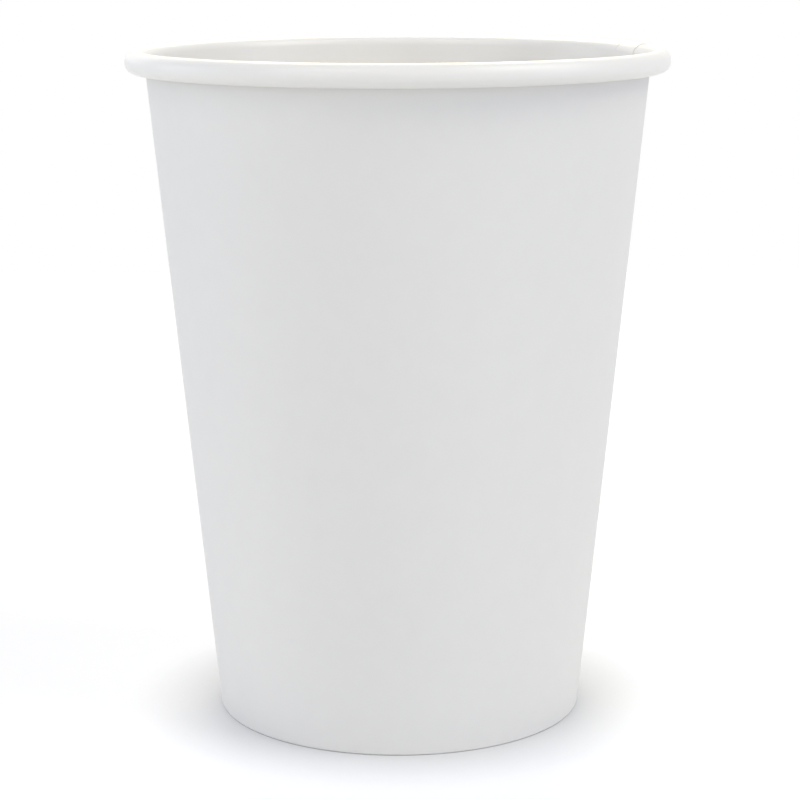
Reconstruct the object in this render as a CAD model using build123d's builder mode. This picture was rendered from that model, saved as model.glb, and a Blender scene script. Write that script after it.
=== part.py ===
from build123d import *
import os
from math import asin, atan2, cos, hypot, radians, sin, tan

# A single-wall paper coffee cup, in millimetres.
# It is two pieces of coated board, heat-sealed together. The sidewall is one fan-shaped
# blank: its ends lap in a side seam, its top edge rolls outwards into the rim, and its
# bottom edge folds in and up round the skirt of the bottom disc.
# The origin is on the table, under the middle of the cup. +Z is up, and the seam is a little
# behind the +X side, out of sight from the front.

# ---- driving dimensions ----

cup_height = 112.0          # table to the top of the rolled rim
rim_diameter = 90.0         # over the roll, which is what a lid snaps onto
foot_diameter = 62.0        # where the wall's outer face, carried down, meets the table
wall_board = 0.35           # thickness of the sidewall's board
bottom_board = 0.30         # thickness of the bottom disc's board
seal_gap = 0.02             # layer of coating between two sealed faces

roll_radius = 1.78          # outside radius of the roll's first half turn
roll_straight = 0.35        # straight run down the outer side of the roll
roll_gap = 0.05             # air between one turn of the roll and the next
roll_tuck = 75.0            # degrees that the cut edge curls on inside the roll

foot_bend_inside = 0.05     # inside radius of the two bends under the foot
bottom_recess = 8.0         # table to the underside of the bottom disc
bottom_bend_inside = 0.50   # inside radius of the bend from the disc to its skirt
hem_clearance = 1.5         # underside of the bottom disc to the top edge of the hem
skirt_clearance = 0.15      # skirt's cut edge above the board that folds round it

seam_bearing = 20.0         # degrees round from +X, towards +Y, to the middle of the lap
seam_lap = 7.0              # width over which the two ends of the blank lie double
seam_ramp = 3.0             # width over which the outer end climbs onto the inner one
seam_clearance = 0.15       # space from the lap to the roll, the foot's bend and the disc

# ---- sizes that follow ----

foot_radius = foot_diameter / 2
foot_bend = foot_bend_inside + wall_board
bottom_bend = bottom_bend_inside + bottom_board
skirt_depth = wall_board + seal_gap
hem_depth = skirt_depth + bottom_board + seal_gap + wall_board
hem_top = bottom_recess - hem_clearance
disc_top = bottom_recess + bottom_board

# The wall's outer face leaves the foot's corner and is tangent to the inner face of the
# roll's first half turn, whose centre is set by the rim's diameter and the cup's height.
roll_inside = roll_radius - wall_board
roll_middle = rim_diameter / 2 - roll_radius
roll_level = cup_height - roll_radius
run_out = roll_middle - foot_radius
taper = atan2(run_out, roll_level) - asin(roll_inside / hypot(run_out, roll_level))

# Each half turn of the roll is smaller than the last by half a board and half a gap.
roll_step = (wall_board + roll_gap) / 2
roll_bottom = roll_level - roll_straight - roll_radius + roll_step

# The lap is solid with the wall to half a board's depth, so its ramp is carried on that far.
lap_root = wall_board / 2
lap_edge = -seam_lap / 2
ramp_top = seam_lap / 2
ramp_foot = ramp_top + seam_ramp * (wall_board + lap_root) / wall_board
lap_low = foot_bend + seam_clearance
lap_high = roll_bottom - seam_clearance


def on_wall(height, depth=0.0):
    """Radius and height of the point that lies a given depth inside the wall's outer face."""
    return (foot_radius + height * tan(taper) - depth / cos(taper), height)


def at_seam(height, depth, along):
    """Plan position, at a height, of a point a width along the wall from the seam's middle."""
    radius = on_wall(height, depth)[0]
    angle = radians(seam_bearing) - along / on_wall(height)[0]
    return (radius * cos(angle), radius * sin(angle))


# ---- sidewall ----

def blank_face(depth):
    """Draw the blank's line at a depth from its outer face, and return the line's two ends.

    It goes down the hem, round the foot, up the wall and round the roll.
    """
    roll_start = roll_inside + depth
    wall = FilletPolyline(
        on_wall(hem_top, hem_depth - depth),
        on_wall(depth, hem_depth - depth),
        on_wall(depth, depth),
        (roll_middle - roll_start * cos(taper), roll_level + roll_start * sin(taper)),
        radius=foot_bend - depth,
    )
    over = JernArc(wall @ 1, wall % 1, roll_start, -180)
    side = Line(over @ 1, over @ 1 + over % 1 * roll_straight)
    under = JernArc(side @ 1, side % 1, roll_start - roll_step, -180)
    rise = Line(under @ 1, under @ 1 + under % 1 * roll_straight)
    tuck = JernArc(rise @ 1, rise % 1, roll_start - 2 * roll_step, -roll_tuck)
    return wall @ 0, tuck @ 1


with BuildPart() as sidewall:
    with BuildSketch(Plane.XZ):
        with BuildLine():
            outer_ends = blank_face(0)
            lining_ends = blank_face(wall_board)
            for outer_end, lining_end in zip(outer_ends, lining_ends):
                Line(outer_end, lining_end)
        make_face()
    revolve(axis=Axis.Z)

    # The blank's outer end, a board proud of the wall, with its ramp down to the wall's face.
    for height in (lap_low, lap_high):
        with BuildSketch(Plane.XY.offset(height)):
            with BuildLine():
                Line(
                    at_seam(height, -wall_board, ramp_top),
                    at_seam(height, lap_root, ramp_foot),
                )
                ThreePointArc(
                    at_seam(height, lap_root, ramp_foot),
                    at_seam(height, lap_root, (lap_edge + ramp_foot) / 2),
                    at_seam(height, lap_root, lap_edge),
                )
                Line(
                    at_seam(height, lap_root, lap_edge),
                    at_seam(height, -wall_board, lap_edge),
                )
                ThreePointArc(
                    at_seam(height, -wall_board, lap_edge),
                    at_seam(height, -wall_board, 0),
                    at_seam(height, -wall_board, ramp_top),
                )
            make_face()
    loft(ruled=True)

    # The channel inside it, from the inner end's cut edge to where the outer end is level.
    for height in (disc_top + seam_clearance, lap_high):
        with BuildSketch(Plane.XY.offset(height)):
            with BuildLine():
                Polyline(
                    at_seam(height, 0, ramp_top),
                    at_seam(height, wall_board + lap_root, ramp_foot),
                    at_seam(height, wall_board + lap_root, ramp_top),
                    close=True,
                )
            make_face()
    loft(ruled=True, mode=Mode.SUBTRACT)

# ---- bottom disc ----

def disc_face(depth):
    """Draw the bottom's line at a depth from its upper face, and return the line's two ends.

    It goes up the outer side of the skirt, round the bend and in to the axis.
    """
    line = FilletPolyline(
        on_wall(wall_board + skirt_clearance, skirt_depth + depth),
        on_wall(disc_top - depth, skirt_depth + depth),
        (0, disc_top - depth),
        radius=bottom_bend - depth,
    )
    return line @ 0, line @ 1


with BuildPart() as bottom_disc:
    with BuildSketch(Plane.XZ):
        with BuildLine():
            upper_ends = disc_face(0)
            under_ends = disc_face(bottom_board)
            for upper_end, under_end in zip(upper_ends, under_ends):
                Line(upper_end, under_end)
        make_face()
    revolve(axis=Axis.Z)

sidewall.part.label = "sidewall"
bottom_disc.part.label = "bottom_disc"

os.makedirs("parts", exist_ok=True)
export_step(sidewall.part, "parts/sidewall.step")
export_step(bottom_disc.part, "parts/bottom_disc.step")
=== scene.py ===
from math import asin, atan2, cos, hypot, pi, radians, sin, tan
import bpy
import numpy as np
from mathutils import Euler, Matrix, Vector


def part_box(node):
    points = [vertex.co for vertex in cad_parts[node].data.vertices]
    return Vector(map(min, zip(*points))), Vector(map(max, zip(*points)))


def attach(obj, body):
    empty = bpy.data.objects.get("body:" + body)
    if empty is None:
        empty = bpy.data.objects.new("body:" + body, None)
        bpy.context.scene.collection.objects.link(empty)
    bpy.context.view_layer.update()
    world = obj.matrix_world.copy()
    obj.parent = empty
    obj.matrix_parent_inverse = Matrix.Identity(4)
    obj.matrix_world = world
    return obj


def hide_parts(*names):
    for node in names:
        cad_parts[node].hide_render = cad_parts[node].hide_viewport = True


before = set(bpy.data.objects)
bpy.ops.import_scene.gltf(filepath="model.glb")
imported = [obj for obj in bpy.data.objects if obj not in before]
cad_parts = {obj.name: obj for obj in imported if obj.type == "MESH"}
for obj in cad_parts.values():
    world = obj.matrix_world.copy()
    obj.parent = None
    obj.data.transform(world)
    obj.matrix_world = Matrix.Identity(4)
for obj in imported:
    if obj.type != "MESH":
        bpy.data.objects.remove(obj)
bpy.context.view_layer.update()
print("frame loaded:", sorted(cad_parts))

# Everything is in metres, in the cup's own frame: +Z up, the table at zero, the seam just behind
# the +X side.
mm = 0.001
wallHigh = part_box("sidewall")[1]
discLow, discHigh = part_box("bottom_disc")

board = {
    "wall": 0.35 * mm,              # the sidewall's board
    "bottom": 0.30 * mm,            # the bottom disc's board
    "coating": 0.02 * mm,           # left between two sealed faces
}

shape = {
    "height": wallHigh[2],
    "rimRadius": wallHigh[0],
    "footRadius": 31.0 * mm,        # where the wall's outer face, carried down, meets the table
    "rollRadius": 1.78 * mm,        # outside radius of the roll's first half turn
    "rollStraight": 0.35 * mm,      # straight run down the roll's outer side
    "rollGap": 0.05 * mm,           # air between two turns of the roll
    "rollTuck": radians(75),        # how far the cut edge curls on inside
    "footBend": 0.40 * mm,          # outside radius of the two bends under the foot
    "hemTop": 6.5 * mm,             # the folded-in edge above the table
    "discTop": discHigh[2],
    "skirtFoot": discLow[2],
}

skirtDepth = board["wall"] + board["coating"]
hemDepth = skirtDepth + board["bottom"] + board["coating"] + board["wall"]

# The wall leaves the foot's corner and is tangent to the inside of the roll's first half turn.
rollInside = shape["rollRadius"] - board["wall"]
rollMiddle = shape["rimRadius"] - shape["rollRadius"]
rollLevel = shape["height"] - shape["rollRadius"]
runOut = rollMiddle - shape["footRadius"]
taper = atan2(runOut, rollLevel) - asin(rollInside / hypot(runOut, rollLevel))
rollStep = (board["wall"] + shape["rollGap"]) / 2


def onWall(height, depth=0.0):
    # radius and height of a point a depth inside the wall's outer face
    radius = shape["footRadius"] + height * tan(taper) - depth / cos(taper)
    return np.stack([radius, np.broadcast_to(height, np.shape(radius))], axis=-1)


def ease(value, low, high):
    # 0 below low, 1 above high, and 3t^2 - 2t^3 between them
    t = np.clip((value - low) / (high - low), 0.0, 1.0)
    return t * t * (3.0 - 2.0 * t)


def arc(centre, radius, start, sweep, count):
    # centre + radius * (cos a, sin a), with a in even steps from start through sweep;
    # the second result is the unit direction from the centre
    angles = start + sweep * np.linspace(0.0, 1.0, count)
    out = np.stack([np.cos(angles), np.sin(angles)], axis=-1)
    return np.asarray(centre) + radius * out, out


sharpEdge = radians(38)             # edges bent more than this stay crisp


def makePiece(name, points, faces, slots, materials):
    # vertices and faces straight into a mesh, with one material slot number for each face
    mesh = bpy.data.meshes.new(name)
    mesh.from_pydata(points.tolist(), [], faces)
    for material in materials:
        mesh.materials.append(material)
    mesh.polygons.foreach_set("material_index", np.asarray(slots, dtype=np.int32))
    mesh.shade_smooth()
    mesh.set_sharp_from_angle(angle=sharpEdge)
    mesh.update()
    piece = bpy.data.objects.new(name, mesh)
    bpy.context.scene.collection.objects.link(piece)
    print(name, "has", len(points), "vertices and", len(faces), "faces")
    return piece


def ringFaces(rows, columns, closeRows):
    # corner numbers of the quads between neighbouring rows: row * columns + column, where the
    # last column meets the first, and the last row too if closeRows
    lastRow = rows if closeRows else rows - 1
    row, column = np.meshgrid(np.arange(lastRow), np.arange(columns), indexing="ij")
    nextRow, nextColumn = (row + 1) % rows, (column + 1) % columns
    return np.stack([row * columns + column, row * columns + nextColumn,
                     nextRow * columns + nextColumn, nextRow * columns + column],
                    axis=-1).reshape(-1, 4)


def newMaterial(name):
    # a material with its nodes, and its own shader
    material = bpy.data.materials.new(name)
    material.use_nodes = True
    nodes, links = material.node_tree.nodes, material.node_tree.links
    return material, nodes, links, nodes["Principled BSDF"]


def noiseNode(nodes, links, place, scale, detail, roughness, distortion=0.0):
    # fractal noise over the place that is linked in
    noise = nodes.new("ShaderNodeTexNoise")
    noise.inputs["Scale"].default_value = scale
    noise.inputs["Detail"].default_value = detail
    noise.inputs["Roughness"].default_value = roughness
    noise.inputs["Distortion"].default_value = distortion
    links.new(place, noise.inputs["Vector"])
    return noise


def spread(nodes, links, source, low, high):
    # carries a noise's middle range, 0.3 to 0.7, onto low to high
    span = nodes.new("ShaderNodeMapRange")
    span.inputs["From Min"].default_value = 0.3
    span.inputs["From Max"].default_value = 0.7
    span.inputs["To Min"].default_value = low
    span.inputs["To Max"].default_value = high
    links.new(source, span.inputs["Value"])
    return span.outputs["Result"]


paperLook = {
    "tone": (0.800, 0.792, 0.778),      # plain white board
    "shade": 0.988,                     # thin places in the sheet, against thick ones
    "cloudSize": 4.0 * mm,
    "fibreSize": 0.45 * mm,
    "roughness": (0.58, 0.70),
    "tooth": 0.012 * mm,                # height of the fibres
}

liningLookWithPaintedWarmth = {
    # the coated face's own ivory plus painted warm bounce light, so lighter and warmer than the
    # outer face
    "tone": (0.860, 0.848, 0.822),
    "shade": 0.990,
    "cloudSize": 6.0 * mm,
    "fibreSize": 0.9 * mm,
    "roughness": (0.30, 0.38),
    "tooth": 0.006 * mm,
}

cutLook = {
    "tone": (0.760, 0.740, 0.700),
    "shade": 0.930,
    "cloudSize": 0.8 * mm,
    "fibreSize": 0.12 * mm,
    "roughness": (0.80, 0.92),
    "tooth": 0.030 * mm,
}


def boardFinish(name, look):
    # clouds set the tone, fibres set the roughness and the bump
    material, nodes, links, shader = newMaterial(name)
    place = nodes.new("ShaderNodeTexCoord").outputs["Object"]
    clouds = noiseNode(nodes, links, place, 1.0 / look["cloudSize"], 4.0, 0.55)
    fibres = noiseNode(nodes, links, place, 1.0 / look["fibreSize"], 6.0, 0.62, 0.8)
    tone = nodes.new("ShaderNodeMix")
    tone.data_type = "RGBA"
    tone.inputs["A"].default_value = (*[c * look["shade"] for c in look["tone"]], 1.0)
    tone.inputs["B"].default_value = (*look["tone"], 1.0)
    links.new(spread(nodes, links, clouds.outputs["Fac"], 0.0, 1.0), tone.inputs["Factor"])
    links.new(tone.outputs["Result"], shader.inputs["Base Color"])
    links.new(spread(nodes, links, fibres.outputs["Fac"], *look["roughness"]),
              shader.inputs["Roughness"])
    bump = nodes.new("ShaderNodeBump")
    bump.inputs["Strength"].default_value = 1.0
    bump.inputs["Distance"].default_value = look["tooth"]
    links.new(fibres.outputs["Fac"], bump.inputs["Height"])
    links.new(bump.outputs["Normal"], shader.inputs["Normal"])
    return material


paperFace = boardFinish("paperFace", paperLook)
liningFaceWithPaintedWarmth = boardFinish("liningFaceWithPaintedWarmth", liningLookWithPaintedWarmth)
cutFace = boardFinish("cutFace", cutLook)
print("board finishes made")

seam = {
    "bearing": radians(70),         # from the back, towards the right
    "lap": 7.0 * mm,                # width where the two ends lie double
    "ramp": 3.0 * mm,               # width over which the outer end climbs on the inner one
    "clear": 12 * mm,               # columns keep their width out to here
    "fade": 60 * mm,                # and their angle from here on
    "apart": 0.002 * mm,            # half the space between the columns at a cut edge
    "tidyWidth": 0.12 * mm,         # even columns nearer to a cut edge than this are left out
    "wallShare": (0.4 * mm, 3.0 * mm),  # heights over which the step grows above the foot
    "underRoll": 1.5 * mm,          # height over which it fades below the roll
    "aboveDisc": 1.5 * mm,          # and over which it grows above the bottom disc
    "hemShare": 0.6,                # how much of the step shows on the hem
    "rollShare": 0.30,              # how much of the step is left where it runs over the roll
    "rollSwell": 0.16 * mm,         # how far the doubled board pushes the roll out
}

hem = {
    "crimps": 96,                   # upright marks pressed in all round
    "depth": 0.05 * mm,
    "start": (0.8 * mm, 1.6 * mm),  # heights over which the marks grow
    "end": 0.5 * mm,                # height over which they fade at the top edge
}

grid = {
    "columns": 576,                 # round the cup
    "evenRadius": 37.0 * mm,        # radius at which the columns are evenly spaced
    "wallRows": 14,
    "halfTurn": 18,                 # rows in each half turn of the roll
    "tuck": 7,
    "bend": 5,
    "hemRows": 6,
}


def blankLine():
    # the outer face from the hem's edge to the roll's cut edge, as arcs and straight runs,
    # with the unit direction from it into the board
    side = np.array([cos(taper), -sin(taper)])
    down = np.array([-sin(taper), -cos(taper)])
    bend = shape["footBend"]
    hemCentre = onWall(bend, hemDepth - bend)
    footCentre = onWall(bend, bend)
    firstCentre = np.array([rollMiddle, rollLevel])
    secondCentre = firstCentre + side * rollStep + down * shape["rollStraight"]
    parts = []
    hemHeights = np.linspace(shape["hemTop"], bend, grid["hemRows"], endpoint=False)
    parts.append((onWall(hemHeights, hemDepth), np.tile(side, (grid["hemRows"], 1))))
    hemArc, out = arc(hemCentre, bend, pi - taper, pi / 2 + taper, grid["bend"])
    parts.append((hemArc, -out))
    footArc, out = arc(footCentre, bend, -pi / 2, pi / 2 - taper, grid["bend"])
    parts.append((footArc, -out))
    wallHeights = np.linspace(footArc[-1][1], rollLevel, grid["wallRows"] + 1, endpoint=False)[1:]
    parts.append((onWall(wallHeights), np.tile(-side, (grid["wallRows"], 1))))
    parts.append(arc(firstCentre, rollInside, pi - taper, -pi, grid["halfTurn"]))
    parts.append(arc(secondCentre, rollInside - rollStep, -taper, -pi, grid["halfTurn"]))
    parts.append(arc(firstCentre, rollInside - 2 * rollStep, pi - taper, -shape["rollTuck"],
                     grid["tuck"]))
    line = np.concatenate([p[0] for p in parts])
    into = np.concatenate([p[1] for p in parts])
    counts = np.cumsum([len(p[0]) for p in parts])
    return line, into, counts


def seamColumns():
    # even steps round the cup, with two columns close together at each cut edge
    half = pi * grid["evenRadius"]
    even = np.linspace(-half, half, grid["columns"], endpoint=False)
    steps = np.array([-seam["lap"] / 2, seam["lap"] / 2])
    near = np.abs(even[:, None] - steps[None, :]).min(axis=1) < seam["tidyWidth"]
    return np.sort(np.concatenate([even[~near], steps - seam["apart"], steps + seam["apart"]]))


def columnAngles(along, radius):
    # along / radius near the seam, so that the cut edges run straight up the wall, and
    # along / evenRadius far from it
    near = 1.0 - ease(np.abs(along), seam["clear"], seam["fade"])
    far = (1.0 - near) / grid["evenRadius"]
    return along[None, :] * (near[None, :] / radius[:, None] + far[None, :])


def outerLift(along):
    # a board's thickness across the lap, with a step at one side and a ramp at the other
    onLap = (along > -seam["lap"] / 2).astype(float)
    rampStart = seam["lap"] / 2
    return board["wall"] * onLap * (1.0 - ease(along, rampStart, rampStart + seam["ramp"]))


def liningLift(along):
    # the same ramp on the inside, from the inner end's cut edge
    pastEdge = (along > seam["lap"] / 2).astype(float)
    rampStart = seam["lap"] / 2
    return board["wall"] * pastEdge * (1.0 - ease(along, rampStart, rampStart + seam["ramp"]))


def makeSidewall():
    # the line and its copy one board deeper, joined at the cut edges and carried round the axis:
    # x = radius * sin(turn), y = radius * cos(turn), with the turn from the back to the right
    line, into, counts = blankLine()
    hemEnd, _, footBend, wallEnd, overEnd, _, tuckEnd = counts
    row = np.arange(tuckEnd)
    along = seamColumns()
    angles = columnAngles(along, line[:, 0])
    height = line[:, 1]

    onWallRows = ((row >= footBend) & (row < wallEnd)).astype(float)
    onHemRows = (row < hemEnd).astype(float)
    onRollRows = (row >= wallEnd).astype(float)
    rollLow = rollLevel - shape["rollStraight"] - shape["rollRadius"] + rollStep
    outerShare = (onWallRows * ease(height, *seam["wallShare"])
                  * (1.0 - ease(height, rollLow - seam["underRoll"], rollLow))
                  + seam["hemShare"] * onHemRows)
    liningShare = (onWallRows * ease(height, shape["discTop"], shape["discTop"] + seam["aboveDisc"])
                   + seam["rollShare"] * onRollRows * (row < overEnd + grid["halfTurn"] // 2))

    raised = outerShare[:, None] * outerLift(along)[None, :]
    outerFace = line[:, None, :] - into[:, None, :] * raised[..., None]
    innerFace = line[:, None, :] + into[:, None, :] * (
        board["wall"] - liningShare[:, None] * liningLift(along)[None, :])[..., None]
    crimp = hem["depth"] * 0.5 * (1.0 + np.cos(hem["crimps"] * angles))
    fade = (onHemRows * ease(height, *hem["start"])
            * (1.0 - ease(height, shape["hemTop"] - hem["end"], shape["hemTop"])))
    outerFace = outerFace + into[:, None, :] * (crimp * fade[:, None])[..., None]

    swell = seam["rollSwell"] * outerLift(along) / board["wall"]
    pushed = onRollRows * ease(row, wallEnd, wallEnd + 6)
    for face in (outerFace, innerFace):
        face[..., 0] += pushed[:, None] * swell[None, :]

    outline = np.concatenate([outerFace, innerFace[::-1]])
    turn = np.concatenate([angles, angles[::-1]]) + seam["bearing"]
    radius = outline[..., 0]
    points = np.stack([radius * np.sin(turn), radius * np.cos(turn), outline[..., 1]], axis=-1)
    rows, columns = radius.shape
    faces = ringFaces(rows, columns, True)[:, ::-1]     # turned round, to face outwards
    rowSlot = np.full(rows, 1)
    rowSlot[:tuckEnd] = 0
    rowSlot[[tuckEnd - 1, rows - 1]] = 2
    slots = np.repeat(rowSlot, columns)
    atEdge = np.diff(np.append(along, along[0] + 2 * pi * grid["evenRadius"])) < 0.01 * mm
    slots[np.tile(atEdge, rows)] = 2
    piece = makePiece("sidewall_board", points.reshape(-1, 3), faces.tolist(), slots,
                      [paperFace, liningFaceWithPaintedWarmth, cutFace])
    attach(piece, "root")
    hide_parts("sidewall")


makeSidewall()

disc = {
    "bendRadius": 0.80 * mm,        # outside of the bend from the disc to its skirt
    "bow": 0.18 * mm,               # how far the middle hangs down
    "puckers": 72,                  # small pleats round the bend
    "puckerDepth": 0.03 * mm,
    "columns": 432,
    "rings": 18,
    "bendRows": 8,
    "skirtRows": 4,
}


def discLine():
    # the upper face from the axis out, round the bend and down the skirt,
    # with the unit direction from it into the board
    side = np.array([cos(taper), -sin(taper)])
    bend = disc["bendRadius"]
    corner = onWall(shape["discTop"], skirtDepth)
    reach = bend * tan((pi / 2 + taper) / 2)
    centre = np.array([corner[0] - reach, shape["discTop"] - bend])
    rings = np.linspace(0.0, centre[0], disc["rings"], endpoint=False)
    bow = disc["bow"] * (1.0 - (rings / centre[0]) ** 2)
    flat = np.stack([rings, shape["discTop"] - bow], axis=-1)
    bent, out = arc(centre, bend, pi / 2, -(pi / 2 + taper), disc["bendRows"])
    skirtHeights = np.linspace(bent[-1][1], shape["skirtFoot"], disc["skirtRows"] + 1)[1:]
    skirt = onWall(skirtHeights, skirtDepth)
    line = np.concatenate([flat, bent, skirt])
    into = np.concatenate([np.tile([0.0, -1.0], (len(flat), 1)), -out,
                           np.tile(-side, (len(skirt), 1))])
    return line, into


def makeBottomDisc():
    # both faces of the line, joined at the skirt's cut edge, with one vertex at each pole
    line, into = discLine()
    rows = len(line)
    angles = np.linspace(0.0, 2 * pi, disc["columns"], endpoint=False)
    onBend = np.exp(-((np.arange(rows) - disc["rings"] - 2) / 2.5) ** 2)
    pleat = disc["puckerDepth"] * (0.5 + 0.5 * np.cos(disc["puckers"] * angles))
    sunk = (onBend[:, None] * pleat[None, :])[..., None]
    upper = line[:, None, :] + into[:, None, :] * sunk
    under = line[:, None, :] + into[:, None, :] * np.full_like(sunk, board["bottom"])
    outline = np.concatenate([upper[1:], under[:0:-1]])
    radius = outline[..., 0]
    points = np.stack([radius * np.sin(angles), radius * np.cos(angles), outline[..., 1]], axis=-1)
    count, columns = radius.shape
    ring = ringFaces(count, columns, False)
    top, low = count * columns, count * columns + 1
    here = np.arange(columns)
    ahead = (here + 1) % columns
    topFan = np.stack([np.full(columns, top), ahead, here], axis=-1)
    lowFan = np.stack([np.full(columns, low), (count - 1) * columns + here,
                       (count - 1) * columns + ahead], axis=-1)
    poles = np.array([[0.0, 0.0, line[0][1]], [0.0, 0.0, line[0][1] - board["bottom"]]])
    allPoints = np.concatenate([points.reshape(-1, 3), poles])
    slots = np.concatenate([np.repeat(np.where(np.arange(count - 1) < rows - 1, 0, 1), columns),
                            np.zeros(columns), np.ones(columns)]).astype(int)
    slots[(rows - 2) * columns:(rows - 1) * columns] = 2
    faces = ring.tolist() + topFan.tolist() + lowFan.tolist()
    piece = makePiece("bottom_board", allPoints, faces, slots, [liningFaceWithPaintedWarmth, paperFace, cutFace])
    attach(piece, "root")
    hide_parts("bottom_disc")


makeBottomDisc()

studio = {
    "floorSize": 1.0,
    "floorTone": (0.80, 0.80, 0.80),    # as the cup is lit by it
    "floorSeen": (0.42, 0.42, 0.42),    # as it is seen, with the glow on top
    "floorGlow": (0.60, 0.61, 0.635),
    "paintedShadowReach": 16 * mm,                 # how far the glow is held back beside the cup, a painted contact shadow
    "ambient": (0.36, 0.39, 0.46),
    "shown": (1.0, 1.0, 1.0),
}


def seenDirectly(nodes, links):
    # 1 for camera, glossy and transmission rays, else 0
    path = nodes.new("ShaderNodeLightPath")
    total = path.outputs["Is Camera Ray"]
    for kind in ("Is Glossy Ray", "Is Transmission Ray"):
        either = nodes.new("ShaderNodeMath")
        either.operation = "MAXIMUM"
        links.new(total, either.inputs[0])
        links.new(path.outputs[kind], either.inputs[1])
        total = either.outputs[0]
    return total


def makeFloor():
    # a square whose glow is held back beside the cup by ambient occlusion, a painted contact shadow
    # on top of the lamps' real shadow
    half = studio["floorSize"] / 2
    level = -0.01 * mm
    corners = [(-half, -half, level), (half, -half, level),
               (half, half, level), (-half, half, level)]
    mesh = bpy.data.meshes.new("floor")
    mesh.from_pydata(corners, [], [(0, 1, 2, 3)])
    floor = bpy.data.objects.new("floor", mesh)
    bpy.context.scene.collection.objects.link(floor)
    material, nodes, links, shader = newMaterial("floorFinish")
    seen = seenDirectly(nodes, links)
    tone = nodes.new("ShaderNodeMix")
    tone.data_type = "RGBA"
    tone.inputs["A"].default_value = (*studio["floorTone"], 1.0)
    tone.inputs["B"].default_value = (*studio["floorSeen"], 1.0)
    links.new(seen, tone.inputs["Factor"])
    links.new(tone.outputs["Result"], shader.inputs["Base Color"])
    shader.inputs["Roughness"].default_value = 0.9
    shader.inputs["Specular IOR Level"].default_value = 0.0
    shader.inputs["Emission Color"].default_value = (*studio["floorGlow"], 1.0)
    # painted shadow: the glow that the camera sees is dimmed by ambient occlusion near the cup
    paintedShadowAO = nodes.new("ShaderNodeAmbientOcclusion")
    paintedShadowAO.samples = 16
    paintedShadowAO.inputs["Distance"].default_value = studio["paintedShadowReach"]
    glow = nodes.new("ShaderNodeMath")
    glow.operation = "MULTIPLY"
    links.new(seen, glow.inputs[0])
    links.new(paintedShadowAO.outputs["AO"], glow.inputs[1])
    links.new(glow.outputs[0], shader.inputs["Emission Strength"])
    mesh.materials.append(material)


def makeWorld():
    # soft light from all round, with the plain backdrop where it is seen
    world = bpy.data.worlds.new("studioAir")
    bpy.context.scene.world = world
    world.use_nodes = True
    nodes, links = world.node_tree.nodes, world.node_tree.links
    nodes.clear()
    around = nodes.new("ShaderNodeBackground")
    around.inputs["Color"].default_value = (*studio["ambient"], 1.0)
    shown = nodes.new("ShaderNodeBackground")
    shown.inputs["Color"].default_value = (*studio["shown"], 1.0)
    mix = nodes.new("ShaderNodeMixShader")
    links.new(seenDirectly(nodes, links), mix.inputs["Fac"])
    links.new(around.outputs["Background"], mix.inputs[1])
    links.new(shown.outputs["Background"], mix.inputs[2])
    output = nodes.new("ShaderNodeOutputWorld")
    links.new(mix.outputs["Shader"], output.inputs["Surface"])


makeFloor()
makeWorld()
print("floor and backdrop made")

# each lamp hangs on a ball round the cup's middle, with its bearing in degrees from the front
# towards the right, and its rise in degrees above the level of that middle
lamps = {
    "frontLeft": {"bearing": -40, "rise": 12, "power": 2.5, "tone": (0.97, 1.0, 1.0)},
    "front": {"bearing": 12, "rise": 12, "power": 0.9, "tone": (1.0, 0.98, 0.60)},
    "frontLeftHigh": {"bearing": -40, "rise": 48, "power": 3.2, "tone": (1.0, 0.90, 0.88)},
    "rightHigh": {"bearing": 70, "rise": 48, "power": 6.1, "tone": (1.0, 0.97, 0.83)},
    "rightLow": {"bearing": 70, "rise": 12, "power": 2.5, "tone": (0.70, 0.74, 1.0)},
    "leftLow": {"bearing": -100, "rise": 12, "power": 2.2, "tone": (0.80, 0.92, 1.0)},
    "back": {"bearing": 180, "rise": 40, "power": 7.5, "tone": (1.0, 0.88, 0.58)},
    "backLeft": {"bearing": -145, "rise": 20, "power": 1.2, "tone": (1.0, 0.97, 0.97)},
}

softbox = {
    "distance": 1.3,
    "width": 0.7,
}

camera = {
    "distance": 385.6 * mm,         # from the cup's axis
    "height": 131.87 * mm,
    "pitch": radians(11.63),        # downwards
    "roll": radians(0.157),
    "lens": 103.8,
    "shiftX": 0.0017,
}


def makeLamps():
    # middle + distance * (sin b cos r, -cos b cos r, sin r), each turned to face the middle
    middle = Vector((0.0, 0.0, shape["height"] / 2))
    for name, look in lamps.items():
        data = bpy.data.lights.new(name, "AREA")
        data.size = softbox["width"]
        data.energy = look["power"]
        data.color = look["tone"]
        lamp = bpy.data.objects.new(name, data)
        bearing, rise = radians(look["bearing"]), radians(look["rise"])
        away = Vector((sin(bearing) * cos(rise), -cos(bearing) * cos(rise), sin(rise)))
        lamp.location = middle + softbox["distance"] * away
        lamp.rotation_euler = (-away).to_track_quat("-Z", "Y").to_euler()
        bpy.context.scene.collection.objects.link(lamp)


def makeCamera():
    # in front of the cup, tilted down by the pitch and leaned by the roll
    data = bpy.data.cameras.new("camera")
    data.lens = camera["lens"]
    data.sensor_width = 36.0
    data.shift_x = camera["shiftX"]
    data.clip_start = 0.01
    view = bpy.data.objects.new("camera", data)
    view.location = (0.0, -camera["distance"], camera["height"])
    tilt = Euler((pi / 2 - camera["pitch"], 0.0, 0.0)).to_matrix()
    lean = Euler((0.0, 0.0, -camera["roll"])).to_matrix()
    view.rotation_euler = (tilt @ lean).to_euler()
    bpy.context.scene.collection.objects.link(view)
    bpy.context.scene.camera = view


makeLamps()
makeCamera()
bpy.context.scene.view_settings.view_transform = "Standard"
print("lamps and camera set")
